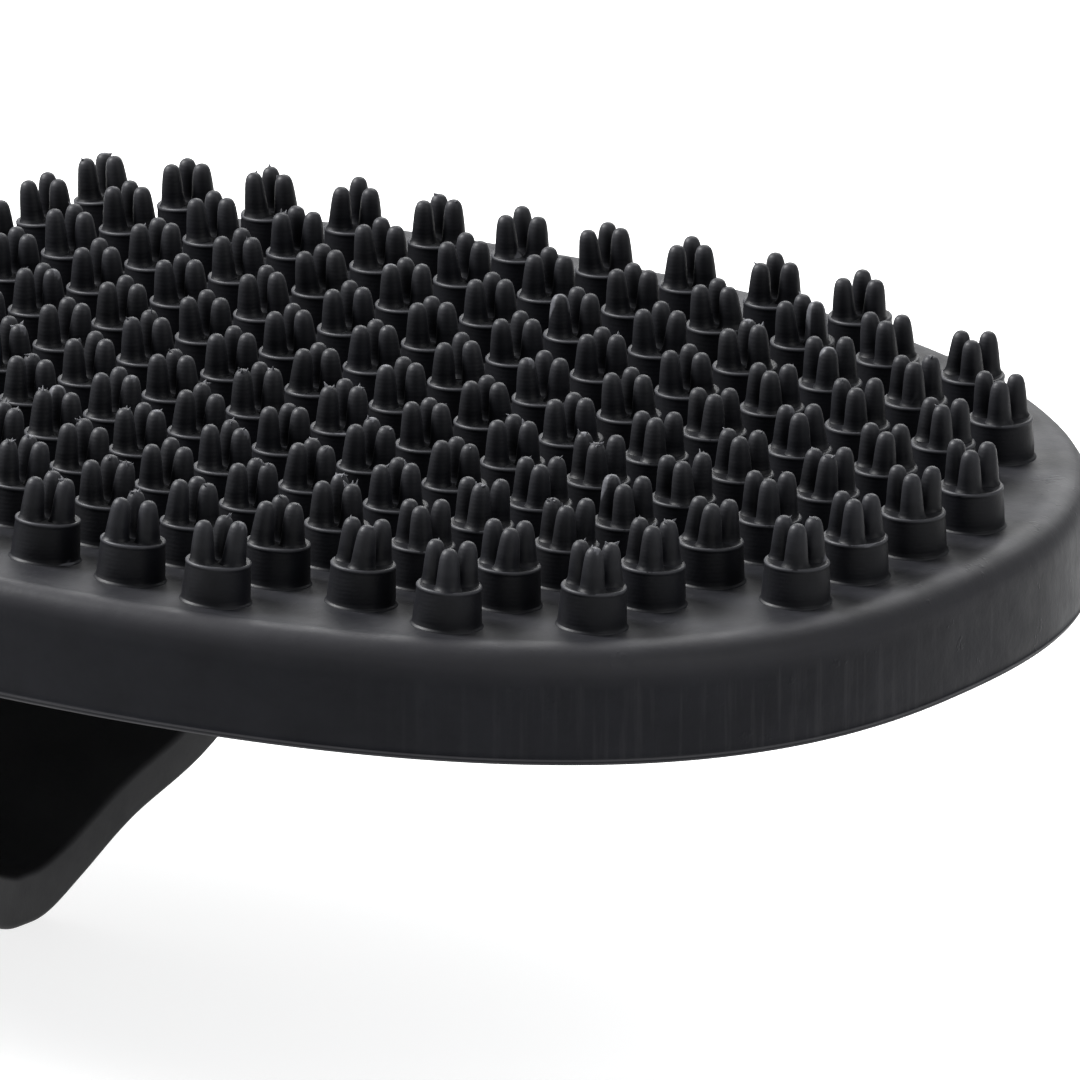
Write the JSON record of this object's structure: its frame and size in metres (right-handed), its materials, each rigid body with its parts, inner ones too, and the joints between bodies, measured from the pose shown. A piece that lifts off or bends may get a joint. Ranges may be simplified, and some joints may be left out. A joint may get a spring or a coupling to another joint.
{
  "type": "curry comb",
  "caption": "Oval rubber curry comb with rows of three-fingered teeth on its face and a hand strap arched across its back.",
  "frame": {"origin": "under the middle of the oval pad, level with the lowest point of the strap's crown", "axes": "+Z from the hand strap to the tooth tips, +X along the long axis of the oval pad, +Y across it"},
  "size_m": [0.1626, 0.1184, 0.0536],
  "materials": {
    "pad_rubber": "matt moulded black rubber",
    "tooth_rubber": "matt moulded black rubber with fine mould rings",
    "strap_rubber": "matt black rubber"
  },
  "bodies": {
    "root": {"pad": "pad_rubber", "tooth_row_01": "tooth_rubber", "tooth_row_02": "tooth_rubber", "tooth_row_03": "tooth_rubber", "tooth_row_04": "tooth_rubber", "tooth_row_05": "tooth_rubber", "tooth_row_06": "tooth_rubber", "tooth_row_07": "tooth_rubber", "tooth_row_08": "tooth_rubber", "tooth_row_09": "tooth_rubber", "tooth_row_10": "tooth_rubber", "tooth_row_11": "tooth_rubber", "tooth_row_12": "tooth_rubber", "hand_strap": "strap_rubber"}
  },
  "joints": []
}
